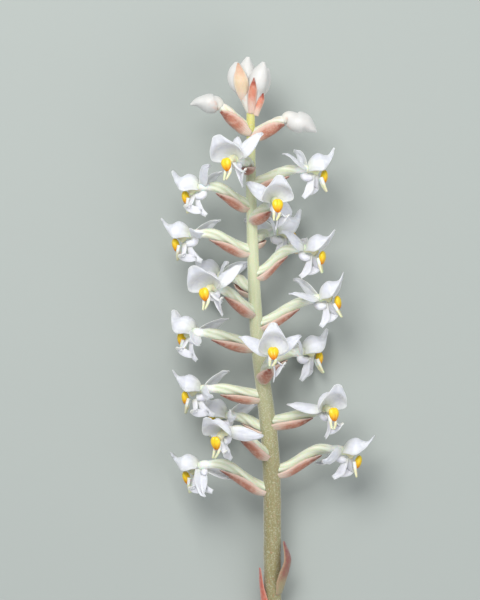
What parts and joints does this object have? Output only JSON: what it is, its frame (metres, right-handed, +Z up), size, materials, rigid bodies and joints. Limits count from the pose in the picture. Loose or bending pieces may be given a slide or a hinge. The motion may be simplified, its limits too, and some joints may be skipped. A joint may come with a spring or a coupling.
{
  "type": "jewel orchid flower spike",
  "caption": "Cut flower spike of a jewel orchid, lying on its back: a fleshy stem with white hooded blooms, yellow anthers and a bud tip.",
  "frame": {"origin": "on the surface that the spike lies on, under the middle of its bounding box", "axes": "+Y along the spike from its cut end to its bud tip, +Z up from the surface, +X across"},
  "size_m": [0.0672, 0.183, 0.0426],
  "materials": {
    "stem": "matt, finely hairy",
    "petal": "satin, finely beaded",
    "anther": "satin",
    "bract": "satin, papery"
  },
  "bodies": {
    "root": {"stem": "stem", "bloom_01": "petal", "bloom_02": "petal", "bloom_03": "petal", "bloom_04": "petal", "bloom_05": "petal", "bloom_06": "petal", "bloom_07": "petal", "bloom_08": "petal", "bloom_09": "petal", "bloom_10": "petal", "bloom_11": "petal", "bloom_12": "petal", "bloom_13": "petal", "bloom_14": "petal", "bloom_15": "petal", "bloom_16": "petal", "bloom_17": "petal", "bloom_18": "petal", "bloom_19": "petal", "anther_01": "anther", "anther_02": "anther", "anther_03": "anther", "anther_04": "anther", "anther_05": "anther", "anther_06": "anther", "anther_07": "anther", "anther_08": "anther", "anther_09": "anther", "anther_10": "anther", "anther_11": "anther", "anther_12": "anther", "anther_13": "anther", "anther_14": "anther", "anther_15": "anther", "anther_16": "anther", "anther_17": "anther", "anther_18": "anther", "anther_19": "anther", "bud_left": "petal", "bud_right": "petal", "tip_buds": "petal", "sheath_bract_left": "bract", "sheath_bract_right": "bract"}
  },
  "joints": []
}
